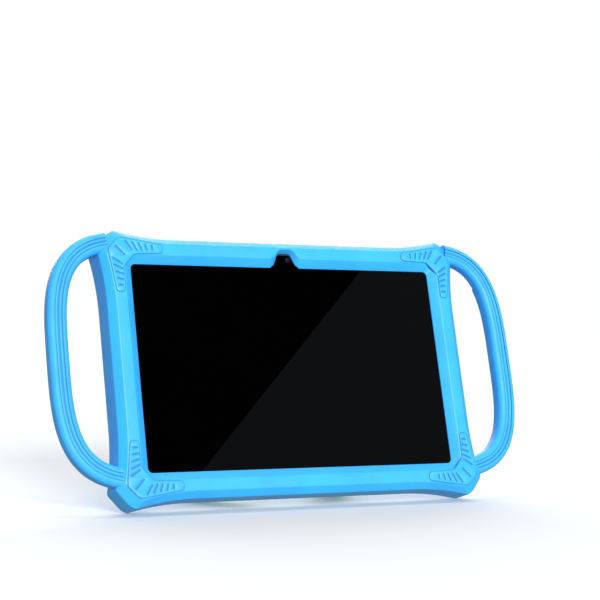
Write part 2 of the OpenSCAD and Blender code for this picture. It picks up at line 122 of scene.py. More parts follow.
# ---------------------------------------------------------------- shapes
def bent(a, b, c, r, n):
    """n + 1 points that round the corner b between a and c."""
    u, v = a - b, c - b
    r = min(r, u.length * 0.49, v.length * 0.49)
    p, q = b + u.normalized() * r, b + v.normalized() * r
    made = []
    for i in range(n + 1):
        t = i / n
        made.append(p * (1 - t) ** 2 + b * 2 * t * (1 - t) + q * t**2)
    return made


def soften(points, r, n=4, closed=True):
    """A polyline with every corner rounded."""
    points = [Vector(p) for p in points]
    count = len(points)
    made = []
    for i, p in enumerate(points):
        if not closed and i in (0, count - 1):
            made.append(p)
            continue
        size = r[i] if isinstance(r, (list, tuple)) else r
        if size <= 0:
            made.append(p)
        else:
            made += bent(points[i - 1], p, points[(i + 1) % count], size, n)
    return made


def arc(cx, cz, r, a0, a1, n):
    """Points along an arc, in degrees."""
    steps = [math.radians(a0 + (a1 - a0) * i / n) for i in range(n + 1)]
    return [Vector((cx + r * math.cos(a), cz + r * math.sin(a))) for a in steps]


def round_rect(w, h, r, cx=0, cz=0, n=8):
    """A rounded rectangle's outline, anticlockwise."""
    made = []
    for sx, sz, a in ((1, 1, 0), (-1, 1, 90), (-1, -1, 180), (1, -1, 270)):
        made += arc(cx + sx * (w / 2 - r), cz + sz * (h / 2 - r), r, a, a + 90, n)
    return made


def circle(r, cx=0, cz=0, n=64):
    """A circle's outline, anticlockwise."""
    return arc(cx, cz, r, 0, 360, n)[:-1]


def pill(w, h, cx=0, cz=0, n=20):
    """A slot with round ends, anticlockwise."""
    made = arc(cx + (w - h) / 2, cz, h / 2, -90, 90, n)
    return made + arc(cx - (w - h) / 2, cz, h / 2, 90, 270, n)


def build(name, points, faces, sharp=35, marks=None):
    """A mesh object from points in the tablet's frame. marks gives each face its material's number."""
    mesh = bpy.data.meshes.new(name)
    mesh.from_pydata([TO_ROW @ Vector(p) for p in points], [], faces)
    if marks:
        mesh.polygons.foreach_set("material_index", marks)
    bm = bmesh.new()
    bm.from_mesh(mesh)
    bmesh.ops.remove_doubles(bm, verts=bm.verts, dist=1e-7)
    bmesh.ops.dissolve_degenerate(bm, edges=bm.edges, dist=1e-7)
    bmesh.ops.recalc_face_normals(bm, faces=bm.faces)
    bm.to_mesh(mesh)
    bm.free()
    shade(mesh, sharp)
    made = bpy.data.objects.new(name, mesh)
    bpy.context.scene.collection.objects.link(made)
    return made


def shade(mesh, sharp=35):
    """Smooth faces, with the edges above an angle kept sharp."""
    mesh.polygons.foreach_set("use_smooth", [True] * len(mesh.polygons))
    mesh.set_sharp_from_angle(angle=math.radians(sharp))
    mesh.update()


def bridged(loops, closed_path=False, closed_loop=True, caps=False):
    """(points, faces) of a skin over a list of equal loops."""
    n = len(loops[0])
    points = [p for loop in loops for p in loop]
    faces = []
    for i in range(len(loops) if closed_path else len(loops) - 1):
        a, b = i * n, ((i + 1) % len(loops)) * n
        for k in range(n if closed_loop else n - 1):
            faces.append((a + k, a + (k + 1) % n, b + (k + 1) % n, b + k))
    if caps:
        faces.append(tuple(range(n)))
        faces.append(tuple(range((len(loops) - 1) * n, len(loops) * n)))
    return points, faces


def offset(outline, d):
    """An outline moved inwards by d: outlines run anticlockwise, and a hole takes a negative d."""
    n = len(outline)
    made = []
    for i in range(n):
        a, b, c = outline[i - 1], outline[i], outline[(i + 1) % n]
        u, v = (b - a).normalized(), (c - b).normalized()
        m = Vector((-u.y - v.y, u.x + v.x))
        m = m.normalized() if m.length > 1e-6 else Vector((-u.y, u.x))
        k = max(0.5, m.dot(Vector((-v.y, v.x))))
        made.append(b + m * d / k)
    return made


def plate(name, outer, holes, front, back, front_soft=0.0, back_soft=0.4, steps=3, sharp=35):
    """A flat plate with holes, and a rounded edge at its front and at its back."""
    outlines = [outer, *holes]
    path = [(front_soft, front)] if front_soft else [(0, front)]
    for i in range(1, steps + 1):
        if front_soft:
            a = math.pi / 2 * i / steps
            path.append((front_soft * (1 - math.sin(a)), front + front_soft * (1 - math.cos(a))))
    for i in range(steps + 1):
        a = math.pi / 2 * i / steps
        path.append((back_soft * (1 - math.cos(a)), back - back_soft * (1 - math.sin(a))))
    points, faces = [], []
    caps = {0: [], len(path) - 1: []}
    for k, outline in enumerate(outlines):
        side = 1 if k == 0 else -1
        first = len(points)
        n = len(outline)
        for level, (inset, y) in enumerate(path):
            moved = offset(outline, side * inset)
            if level in caps:
                caps[level].append((first + level * n, moved))
            points += [(p.x, y, p.y) for p in moved]
        for level in range(len(path) - 1):
            a, b = first + level * n, first + (level + 1) * n
            faces += [(a + i, a + (i + 1) % n, b + (i + 1) % n, b + i) for i in range(n)]
    for level in caps:
        index = [start + i for start, loop in caps[level] for i in range(len(loop))]
        flat = [[Vector((p.x, p.y, 0)) for p in loop] for _, loop in caps[level]]
        faces += [tuple(index[i] for i in t) for t in tessellate_polygon(flat)]
    return build(name, points, faces, sharp)


def lathe(name, profile, cx=0, cz=0, start=0, stop=360, steps=96, sharp=35):
    """A [radius, depth] profile turned about the tablet's Y axis."""
    whole = abs(stop - start) >= 360
    loops = []
    for i in range(steps if whole else steps + 1):
        a = math.radians(start + (stop - start) * i / steps)
        loops.append([Vector((cx + p[0] * math.cos(a), p[1], cz + p[0] * math.sin(a))) for p in profile])
    return build(name, *bridged(loops, closed_path=whole, caps=not whole), sharp)


def cut(target, *cutters, sharp=35):
    """Cuts the cutters out of a piece for good."""
    for c in cutters:
        m = target.modifiers.new("cut", "BOOLEAN")
        m.operation, m.object, m.solver = "DIFFERENCE", c, "EXACT"
        dg = bpy.context.evaluated_depsgraph_get()
        mesh = bpy.data.meshes.new_from_object(target.evaluated_get(dg))
        target.modifiers.clear()
        target.data = mesh
        bpy.data.objects.remove(c)
    shade(target.data, sharp)
    return target


def box(x, y, z):
    """A block between two corners, in the tablet's frame."""
    points = [(a, b, c) for a in x for b in y for c in z]
    faces = [(0, 1, 3, 2), (4, 6, 7, 5), (0, 4, 5, 1), (2, 3, 7, 6), (0, 2, 6, 4), (1, 5, 7, 3)]
    return build("cutter", points, faces)


def put(piece, body, slot, looks, *nodes):
    """Rides a piece on its body, in the place of CAD nodes."""
    numbers = [p.material_index for p in piece.data.polygons]
    piece.data.materials.clear()
    for m in looks if isinstance(looks, list) else [looks]:
        piece.data.materials.append(m)
    if isinstance(looks, list):
        piece.data.polygons.foreach_set("material_index", numbers)
    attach(piece, body)
    if nodes:
        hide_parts(*nodes)
    return piece


# ---------------------------------------------------------------- materials
def material(name, colour, rough=0.5, spread=0.06, patch=60.0, grain=1600.0, bump=0.06, rough_spread=0.06,
             metallic=0.0, sheen=0.0, coat=0.0, specular=0.5, subsurface=0.0, stretch=None):
    """A moulded or drawn surface: slow colour drift, uneven gloss and a fine grain."""
    m = bpy.data.materials.new(name)
    m.use_nodes = True
    nodes, links = m.node_tree.nodes, m.node_tree.links
    shader = nodes["Principled BSDF"]
    coords = nodes.new("ShaderNodeTexCoord")
    mapping = nodes.new("ShaderNodeMapping")
    mapping.inputs["Scale"].default_value = stretch or (1, 1, 1)
    links.new(coords.outputs["Object"], mapping.inputs["Vector"])

    def noise(scale, detail, roughness=0.5):
        n = nodes.new("ShaderNodeTexNoise")
        n.inputs["Scale"].default_value = scale
        n.inputs["Detail"].default_value = detail
        n.inputs["Roughness"].default_value = roughness
        links.new(mapping.outputs["Vector"], n.inputs["Vector"])
        return n.outputs["Fac"]

    def ramp(source, low, high, at=(0.3, 0.7)):
        r = nodes.new("ShaderNodeValToRGB")
        r.color_ramp.elements[0].position, r.color_ramp.elements[1].position = at
        r.color_ramp.elements[0].color = low
        r.color_ramp.elements[1].color = high
        links.new(source, r.inputs["Fac"])
        return r.outputs["Color"]

    dark = (*[c * (1 - spread) for c in colour], 1)
    light = (*[min(1, c * (1 + spread)) for c in colour], 1)
    links.new(ramp(noise(patch, 3), dark, light), shader.inputs["Base Color"])
    low, high = max(0.0, rough - rough_spread), rough + rough_spread
    gloss = ramp(noise(patch * 3.1, 4), (low, low, low, 1), (high, high, high, 1))
    links.new(gloss, shader.inputs["Roughness"])
    fine = nodes.new("ShaderNodeBump")
    fine.inputs["Strength"].default_value = bump
    fine.inputs["Distance"].default_value = 0.0001
    links.new(noise(grain, 2, 0.6), fine.inputs["Height"])
    links.new(fine.outputs["Normal"], shader.inputs["Normal"])
    shader.inputs["Metallic"].default_value = metallic
    shader.inputs["Sheen Weight"].default_value = sheen
    shader.inputs["Coat Weight"].default_value = coat
    shader.inputs["Coat Roughness"].default_value = 0.08
    shader.inputs["Specular IOR Level"].default_value = specular
    shader.inputs["Subsurface Weight"].default_value = subsurface
    shader.inputs["Subsurface Radius"].default_value = (0.3, 0.8, 1.0)
    shader.inputs["Subsurface Scale"].default_value = 0.002
    m.diffuse_color = (*colour, 1)
    return m


RUBBER = {"sheen": 0.02, "subsurface": 0.06}
SILICONE = material("silicone", (0.034, 0.43, 0.97), 0.42, bump=0.12, specular=0.5, **RUBBER)
SILICONE_BACK = material("silicone_back", (0.028, 0.34, 0.86), 0.46, bump=0.12, specular=0.35, **RUBBER)
DOME = material("silicone_dome", (0.022, 0.33, 0.88), 0.3, bump=0.05, sheen=0.05, coat=0.15, subsurface=0.06)
# Painted shade: a darker silicone laid where shade falls, in the pads' slots, round the pads and at the bottom of
# the handles' grooves.
PAINTED_SHADE = material("silicone_painted_shade", (0.018, 0.2, 0.6), 0.5, bump=0.1, sheen=0.05)
GRIP = material("silicone_grip", (0.045, 0.43, 0.95), 0.46, bump=0.1, specular=0.35, **RUBBER)
STAND_BLUE = material("stand_plastic", (0.03, 0.40, 0.92), 0.33, grain=2600, bump=0.06, coat=0.1)
LIME = material("ring_plastic", (0.46, 0.72, 0.02), 0.26, grain=2400, bump=0.03, coat=0.25, subsurface=0.05)
STEEL = material("steel", (0.62, 0.63, 0.65), 0.28, metallic=1.0, grain=900, bump=0.05, stretch=(1, 1, 12))
BLACK = material("tablet_plastic", (0.012, 0.012, 0.013), 0.42, spread=0.15, grain=2600, bump=0.12)
POLISHED = {"rough": 0.012, "rough_spread": 0.006, "spread": 0.1, "bump": 0.0, "patch": 24, "specular": 0.16}
SCREEN_BLACK = (0.0003, 0.0003, 0.0004)
GLASS = material("cover_glass", SCREEN_BLACK, **POLISHED)
PICTURE = material("display_area", SCREEN_BLACK, **POLISHED)
LENS = material("lens_glass", (0.010, 0.008, 0.03), 0.04, rough_spread=0.01, bump=0.0, coat=1.0, specular=0.9)
FLASH = material("flash_lens", (0.9, 0.82, 0.5), 0.2, grain=3000, bump=0.4)
FOIL = material("battery_foil", (0.6, 0.61, 0.63), 0.35, metallic=0.9, grain=400, bump=0.2)
PANEL = material("panel_metal", (0.35, 0.36, 0.38), 0.4, metallic=0.9, grain=700, bump=0.1)
BOARD = material("solder_mask", (0.02, 0.17, 0.06), 0.35, spread=0.2, patch=300, grain=900, bump=0.3)
AMBER = material("polyimide", (0.42, 0.2, 0.03), 0.3, spread=0.12, patch=200, bump=0.1)
RED = material("lead_sleeve", (0.5, 0.02, 0.02), 0.45, bump=0.1)

SLOT_LOOKS = {
    "bumper_silicone": SILICONE, "bubble_silicone": DOME, "stand_blue": STAND_BLUE, "ring_lime": LIME,
    "steel": STEEL, "tablet_black": BLACK, "screen_glass": GLASS, "panel_metal": PANEL, "foil": FOIL,
    "board_green": BOARD, "lens_glass": LENS, "flash_lens": FLASH, "flex_amber": AMBER, "lead_red": RED,
}
for part in record["subparts"]:
    node = frame["nodes"][part["node"]]
    node.data.materials.clear()
    node.data.materials.append(SLOT_LOOKS[part["material_slot"]])


# ---------------------------------------------------------------- bumper
def sweep_out(v, start, end):
    """How far the case has flared at v: 0 up to start, growing to 1 at end."""
    return 0 if v <= start else ((v - start) / (end - start)) ** 2


CUT = [Vector((93.8, 70.0)), Vector((96.9, 68.4)), Vector((103.2, 60.8))]
NOTCH_LIP = [(0, 60.6), (2, 60.6), (3.4, 60.2), (4.3, 58.8), (5.2, 56.6), (6.4, 54.4), (8.6, 52.8)]
NOTCH_RIM = [(0, 62.0), (1.8, 62.0), (3.4, 61.8), (5.0, 60.6), (6.2, 58.8), (7.6, 57.5), (9.6, 56.9)]
TOP_STEPS, SIDE_STEPS, CORNER_STEPS = 22, 18, 4


def case_quarter(sx=1.0, sz=1.0, grow=0.0):
    """The case's flared outline, from the middle of its top to the middle of its side."""
    half_w, half_h = CASE_W / 2 + grow, CASE_H / 2 + grow
    corner = [p + Vector((grow, grow)) for p in CUT]
    made = [Vector((p[0], half_h)) for p in NOTCH_LIP]
    for i in range(1, TOP_STEPS + 1):
        x = NOTCH_LIP[-1][0] + (corner[0].x - 1.2 - NOTCH_LIP[-1][0]) * i / TOP_STEPS
        made.append(Vector((x, half_h + FLARE_END * sweep_out(x, END_START, corner[0].x))))
    ends = [made[-1], *corner, corner[2] + Vector((-0.25, -2))]
    for i in (1, 2, 3):
        made += bent(ends[i - 1], ends[i], ends[i + 1], 1.6, CORNER_STEPS)
    for i in range(1, SIDE_STEPS + 1):
        z = (corner[2].y - 2) * (1 - i / SIDE_STEPS)
        made.append(Vector((half_w + FLARE_SIDE * sweep_out(z, SIDE_START, corner[2].y), z)))
    return [Vector((p.x * sx, p.y * sz)) for p in made]


def rect_quarter(w, h, r):
    """A rounded rectangle's quarter with as many points as the case's outline."""
    made = [Vector((p[0], h)) for p in NOTCH_LIP]
    for i in range(1, TOP_STEPS + 1):
        made.append(Vector((NOTCH_LIP[-1][0] + (w - r - NOTCH_LIP[-1][0]) * i / TOP_STEPS, h)))
    made += arc(w - r, h - r, r, 90, 0, 3 * (CORNER_STEPS + 1) - 1)
    for i in range(1, SIDE_STEPS + 1):
        made.append(Vector((w, (h - r) * (1 - i / SIDE_STEPS))))
    return made


def around(quarter, y, notch=None):
    """The whole loop at one depth. Only the top takes the notch."""
    top = list(quarter)
    if notch:
        top[: len(notch)] = [Vector(p) for p in notch]
    loop = top[:-1]
    loop += [Vector((p.x, -p.y)) for p in reversed(quarter)][:-1]
    loop += [Vector((-p.x, -p.y)) for p in quarter][:-1]
    loop += [Vector((-p.x, p.y)) for p in reversed(top)][:-1]
    return [Vector((p.x, y, p.y)) for p in loop]


def rounded_stack(loops, radii, n=4):
    """A closed stack of loops, with its edges rounded across the stack."""
    count = len(loops)
    made = []
    for i in range(count):
        if radii[i] <= 0:
            made.append(loops[i])
            continue
        columns = [
            bent(loops[i - 1][k], loops[i][k], loops[(i + 1) % count][k], radii[i], n)
            for k in range(len(loops[i]))
        ]
        made += [[c[j] for c in columns] for j in range(n + 1)]
    return made


def bumper():
    """The silicone shell: rim, lip, flared wall and the channel that holds the tablet."""
    lip = rect_quarter(SCREEN_W / 2, SCREEN_H / 2, 2.5)
    panel, window, tablet = rect_quarter(87.5, 55.5, 4), rect_quarter(85, 53, 4), rect_quarter(93.1, 61.4, 7)
    stack = [
        (around(lip, 0.0, NOTCH_LIP), 0.0),
        (around(lip, -0.5, NOTCH_LIP), 0.2),
        (around(rect_quarter(90.2, 56.9, 3.2), RIM_Y, NOTCH_RIM), 0.4),
        (around(case_quarter(BEVEL_X, BEVEL_Z), RIM_Y), 0.45),
        (around(case_quarter(), EDGE_Y), 0.5),
        (around(case_quarter(), WALL_Y), 0.6),
        (around(case_quarter(BEVEL_X, BEVEL_Z), BACK_Y), 0.8),
        (around(rect_quarter(90.5, 58.5, 6), BACK_Y), 0.8),
        (around(panel, PANEL_Y), 0.4),
        (around(panel, FLOOR_Y), 0.0),
        (around(window, FLOOR_Y), 0.0),
        (around(window, TABLET_T), 0.0),
        (around(tablet, TABLET_T), 0.0),
        (around(tablet, 0.0), 0.0),
    ]
    loops = rounded_stack([s[0] for s in stack], [s[1] for s in stack])
    shell = build("bumper_shell", *bridged(loops, closed_path=True), 32)
    cutters = [box((88, 115), (1.5, 20), (PORT_Z - PORT_W / 2, PORT_Z + PORT_W / 2))]
    for x, l in KEYS.values():
        cutters.append(box((x - l / 2 - 0.25, x + l / 2 + 0.25), (KEY_Y - 2.75, KEY_Y + 2.75), (60, 72)))
    cut(shell, *cutters, sharp=32)
    put(shell, "case", "bumper_silicone", SILICONE, "bumper_case")


bumper()


put(
    plate("camera_collar", pill(*COLLAR, cz=CAMERA_Z), [pill(*COLLAR_HOLE, cz=CAMERA_Z)], 9.5, COLLAR_BACK,
          back_soft=1.1, steps=5),
    "case", "bumper_silicone", SILICONE,
)


def key_caps():
    """The soft keys in the bumper's top wall."""
    for name, (x, l) in KEYS.items():
        rise = CASE_H / 2 + FLARE_END * sweep_out(x, END_START, CUT[0].x)
        outline = round_rect(l, KEY_T, 2.2, x, 0)
        levels = [(0, 62), (0, rise - 0.7), (0.15, rise - 0.25), (0.6, rise + 0.1), (1.4, rise + 0.25)]
        loops = [[Vector((p.x, KEY_Y - p.y, z)) for p in offset(outline, d)] for d, z in levels]
        cap = build(f"{name}_cap", *bridged(loops, caps=True))
        put(cap, f"{name}_key", "bumper_silicone", GRIP, f"{name}_pad")


key_caps()


# ---------------------------------------------------------------- grip pads
def pad_outline():
    """A bent pad for the corner with X and Z above 0, anticlockwise."""
    ix = (CASE_W / 2 + FLARE_SIDE) * BEVEL_X - PAD_IN
    iz = (CASE_H / 2 + FLARE_END) * BEVEL_Z - PAD_IN
    end_x, end_z = ix - PAD_ARM_X, iz - PAD_ARM_Z
    corners = [
        (end_x, iz - 3.4), (end_x, iz - 7.7), (ix - 13.5, iz - 8.3), (ix - 7.4, iz - 15), (ix - 7.3, end_z),
        (ix - 3.2, end_z), (ix - 0.4, iz - 8.4), (ix - 0.2, iz - 6.2), (ix - 4.8, iz - 0.9), (ix - 7, iz),
    ]
    return soften([Vector(c) for c in corners], 1.7, 4), ix, iz


def slot_outline(a, b, w=0.48):
    """A narrow slot between two points, anticlockwise."""
    d = (b - a).normalized()
    n = Vector((-d.y, d.x)) * w
    corners = [a + n, a - n, b - n, b + n]
    return soften(corners, 0.3, 2)


def grip_pads():
    """Raised pads, each on a sheet of painted shade, a darker silicone that shows in its slots and as a line round
    it.
    """
    outline, ix, iz = pad_outline()
    painted_shade_outline = offset(outline, -0.4)
    slots = [slot_outline(Vector((ix - 8.6, iz - 9.2)), Vector((ix - 3.7, iz - 4.3)))]
    fan = Vector((ix - 25, iz - 25))
    for i in range(SLOTS):
        long = SLOT_LONG - SLOT_SHORTER * i
        for top in (
            Vector((ix - 9.3 - SLOT_PITCH * i, iz - 1.5 - 0.54 * i)),
            Vector((ix - 1.9 - 0.5 * i, iz - 10.7 - SLOT_PITCH * i)),
        ):
            slots.append(slot_outline(top - (top - fan).normalized() * long, top))
    places = [(1, 1), (-1, 1), (1, -1), (-1, -1)]
    for k, (sx, sz) in enumerate(places):
        def flip(loop):
            moved = [Vector((p.x * sx, p.y * sz)) for p in loop]
            return moved if sx * sz > 0 else moved[::-1]

        flipped = [flip(s) for s in slots]
        front = plate(f"front_pad_{k + 1}", flip(outline), flipped, RIM_Y - PAD_H, RIM_Y + 0.6,
                      front_soft=0.22, back_soft=0.05, steps=2)
        put(front, "case", "bumper_silicone", SILICONE)
        # A thin sheet of painted shade behind the front pad: its darker silicone shows in the slots and as a line
        # round the pad.
        under = plate(f"front_pad_painted_shade_{k + 1}", flip(painted_shade_outline), [], RIM_Y - 0.05, RIM_Y + 0.6, 0.02, 0.02, 1)
        put(under, "case", "bumper_silicone", PAINTED_SHADE)
        back = plate(f"back_pad_{k + 1}", flip(outline), flipped, BACK_Y - 0.6, BACK_Y + PAD_H,
                     front_soft=0.0, back_soft=0.22, steps=2)
        put(back, "case", "bumper_silicone", SILICONE)
        # The same sheet of painted shade behind the back pad.
        under = plate(f"back_pad_painted_shade_{k + 1}", flip(painted_shade_outline), [], BACK_Y - 0.6, BACK_Y + 0.05, 0.02, 0.02, 1)
        put(under, "case", "bumper_silicone", PAINTED_SHADE)


grip_pads()


# ---------------------------------------------------------------- handles
def bar_section():
    """A rounded bar with three grooves in its front and in its back: (outwards, back)."""
    made = []
    groove = [(-x, d) for x, d in GROOVE_EDGE] + list(reversed(GROOVE_EDGE))
    corner = HANDLE_CORNER
    for sx, sy, start in ((1, 1, 0), (-1, 1, 90), (-1, -1, 180), (1, -1, 270)):
        made += arc(sx * (HANDLE_W / 2 - corner), sy * (HANDLE_T / 2 - corner), corner, start, start + 90, 7)
        if start in (0, 180):
            for g in GROOVES:
                for x, d in groove:
                    made.append(Vector((-sy * (g + x), sy * (HANDLE_T / 2 - d))))
    return made


def handle_point(t):
    """A point on the middle line of the right-hand handle, t degrees round it."""
    c, s = math.cos(math.radians(t)), math.sin(math.radians(t))
    p = 2 / HANDLE_POWER
    x = HANDLE_START_X + (HANDLE_REACH - HANDLE_START_X) * abs(c) ** p
    return Vector((x, HANDLE_MID_Z + HANDLE_RISE * math.copysign(abs(s) ** p, s)))


def handle(name, side, node, step_at=None):
    """A D-shaped handle with painted shade in its grooves. Above step_at its back steps in."""
    section = bar_section()
    steps = 150
    loops = []
    for i in range(steps + 1):
        t = HANDLE_END * (2 * i / steps - 1)
        p, d = handle_point(t), handle_point(t + 0.3) - handle_point(t - 0.3)
        out = Vector((d.y, -d.x)).normalized()
        limit = math.inf
        if step_at is not None:
            limit = HANDLE_BACK - HANDLE_STEP * min(1, max(0, p.y - step_at))
        loop = []
        for q in section:
            y = min(limit, HANDLE_MID_Y + q.y)
            loop.append(Vector((side * (p.x + out.x * q.x), y, p.y + out.y * q.x)))
        loops.append(loop)
    points, faces = bridged(loops, caps=True)
    # The faces deep in the grooves get the second material, the darker silicone: painted shade along the groove
    # bottoms.
    deep = [abs(abs(q.y) - HANDLE_T / 2) > 0.3 and abs(q.x) < HANDLE_W / 2 - 2 for q in section]
    count = len(section)
    marks = [int(deep[i % count] and deep[(i + 1) % count]) for i in range(len(faces) - 2)] + [0, 0]
    made = build(name, points, faces, 50, marks)
    return put(made, "case", "bumper_silicone", [GRIP, PAINTED_SHADE], node)


handle("left_grip", -1, "left_handle")
handle("right_grip", 1, "right_handle", step_at=HANDLE_STEP_AT)


# ---------------------------------------------------------------- bubbles and their panel
def bubbles():
    """The middles of the bubbles, row by row from the top."""
    made = []
    for r, columns in enumerate(ROWS):
        for c in columns:
            made.append((c * PITCH_X, (2 - r) * PITCH_Z))
    return made


def kept_out(p, gap, centre):
    """Moves a point of the bubble at centre off the stand's base and off the speaker window's frame."""
    x, z = p
    r = math.hypot(x, z - DISC_Z)
    if r < BASE_R + gap:
        k = (BASE_R + gap) / r
        x, z = x * k, DISC_Z + (z - DISC_Z) * k
    half_w, half_h = WINDOW[0] / 2 + 2 + gap, WINDOW[1] / 2 + 2 + gap
    dx, dz = x - WINDOW_AT[0], z - WINDOW_AT[1]
    if abs(dx) < half_w and abs(dz) < half_h:
        z = WINDOW_AT[1] + math.copysign(half_h, centre[1] - WINDOW_AT[1])
    return Vector((x, z))


def popper():
    """The recessed panel, with a hole for each bubble and a line between rows."""
    holes = [circle(BASE_R + 0.05, 0, DISC_Z, 128), pill(*COLLAR, cz=CAMERA_Z)]
    holes.append(round_rect(WINDOW[0] + 4, WINDOW[1] + 4, 1.4, *WINDOW_AT, n=5))
    for x, z in bubbles():
        holes.append([kept_out(p, 0.25, (x, z)) for p in circle(HOLE_R, x, z, 48)])
    sheet = plate("popper_sheet", round_rect(174.8, 110.8, 4), holes, 13.05, PANEL_Y, back_soft=0.45, steps=4)
    grooves = []
    for row in (-1.5, -0.5, 0.5, 1.5):
        z = row * PITCH_Z
        x = math.sqrt((BASE_R + 2.5) ** 2 - (z - DISC_Z) ** 2)
        for s in (-1, 1):
            if row == -1.5 and s < 0:
                continue
            grooves.append(box(sorted((s * x, s * 85.6)), (PANEL_Y - 0.45, PANEL_Y + 1), (z - 0.4, z + 0.4)))
    cut(sheet, *grooves)
    put(sheet, "case", "bubble_silicone", SILICONE_BACK, "popper_panel")


popper()

put(
    plate("window_frame", round_rect(WINDOW[0] + 4, WINDOW[1] + 4, 1.4, *WINDOW_AT, n=5),
          [round_rect(WINDOW[0], WINDOW[1], 0.8, *WINDOW_AT, n=5)], 13.05, PANEL_Y + 1, back_soft=0.35),
    "case", "bubble_silicone", SILICONE_BACK,
)


def dome(number, at):
    """A thin push bubble: a flat skirt, a rounded foot and a dome."""
    profile = [(SKIRT_R, 13.05), (SKIRT_R, SKIRT_Y - 0.25), (SKIRT_R - 0.25, SKIRT_Y)]
    profile += [(DOME_R + 0.35, SKIRT_Y), (DOME_R + 0.1, SKIRT_Y + 0.1), (DOME_R, SKIRT_Y + 0.35)]
    start = 10
    for i in range(1, 15):
        a = math.radians(start + (90 - start) * i / 14)
        profile.append((DOME_R * math.cos(a) ** 0.9, SKIRT_Y + 0.3 + (DOME_H - 0.3) * math.sin(a) ** 1.15))
    n = 48
    points, faces = [], []
    for r, y in profile:
        r = max(r, 0.0)
        for k in range(n):
            a = math.tau * k / n
            p = kept_out((at[0] + r * math.cos(a), at[1] + r * math.sin(a)), 0.45, at)
            points.append((p.x, y, p.y))
    for i in range(len(profile) - 1):
        a, b = i * n, (i + 1) * n
        faces += [(a + k, a + (k + 1) % n, b + (k + 1) % n, b + k) for k in range(n)]
    faces.append(tuple(range(n)))
    name = f"bubble_{number:02d}"
    put(build(f"dome_{number:02d}", points, faces, 50), name, "bubble_silicone", DOME, name)


for number, at in enumerate(bubbles(), 1):
    dome(number, at)


# ---------------------------------------------------------------- stand
def stand_base():
    """The round dish that the stand sits in."""
    profile = soften(
        [(2.8, 12), (BASE_R, 12), (BASE_R, BASE_RIM_Y), (BASE_BORE_R, BASE_RIM_Y), (BASE_BORE_R, FLOOR_Y),
         (2.8, FLOOR_Y)],
        [0, 0, 0.45, 0.45, 0.3, 0], 4,
    )
    put(lathe("base_dish", profile, cz=DISC_Z, steps=144), "case", "stand_blue", STAND_BLUE, "stand_base")


def stand_disc():
    """The turning disc, its tongue across the ring's track, and a faint oval on its face."""
    profile = soften(
        [(0, 13.2), (9, 13.2), (9, 16), (29.6, 16), (29.6, RING_FRONT), (DISC_R, RING_FRONT),
         (DISC_R, DISC_BACK), (0, DISC_BACK)],
        [0, 0, 0, 0, 0.2, 0.2, 0.8, 0], 4,
    )
    disc = lathe("turning_disc", profile, cz=DISC_Z, steps=144)
    ball_r = (THUMB_R**2 + THUMB_DEPTH**2) / (2 * THUMB_DEPTH)
    bowl = [(0, DISC_BACK - THUMB_DEPTH)]
    for i in range(1, 13):
        a = math.asin(THUMB_R * 1.15 / ball_r) * i / 12
        bowl.append((ball_r * math.sin(a), DISC_BACK - THUMB_DEPTH + ball_r * (1 - math.cos(a))))
    bowl.append((0, bowl[-1][1]))
    cut(disc, lathe("cutter", bowl, cz=DISC_Z + DISC_R, steps=64))
    put(disc, "stand_turn", "stand_blue", STAND_BLUE, "stand_disc")

    low = DISC_R - 3.0
    half = TONGUE_W / 2
    reach = math.degrees(math.asin(half / (RING_R - 0.5)))
    inner = math.degrees(math.asin(half / low))
    outline = arc(0, DISC_Z, RING_R - 0.5, 270 - reach, 270 + reach, 24)
    outline += arc(0, DISC_Z, low, 270 + inner, 270 - inner, 24)
    tongue = plate("disc_tongue", soften(outline, 0.01, 1), [], RING_FRONT, TONGUE_BACK, 0.3, 0.9, 5)
    dip = soften([(low - 3, DISC_BACK - 0.9), (DISC_R + 0.6, DISC_BACK - 0.9),
                  (DISC_R + 2.6, TONGUE_BACK + 0.6), (low - 3, TONGUE_BACK + 0.6)], [0, 0.5, 0.3, 0], 3)
    cut(tongue, lathe("cutter", dip, cz=DISC_Z, steps=144))
    put(tongue, "stand_turn", "stand_blue", STAND_BLUE)

    turns = [math.tau * i / 72 for i in range(72)]
    oval = [Vector((11.0 * math.cos(a), DISC_Z - 4 + 14.6 * math.sin(a))) for a in turns]
    mark = plate("disc_oval", oval, [offset(oval, 0.6)], DISC_BACK - 0.3, DISC_BACK + 0.12,
                 back_soft=0.05, steps=1)
    put(mark, "stand_turn", "stand_blue", STAND_BLUE)


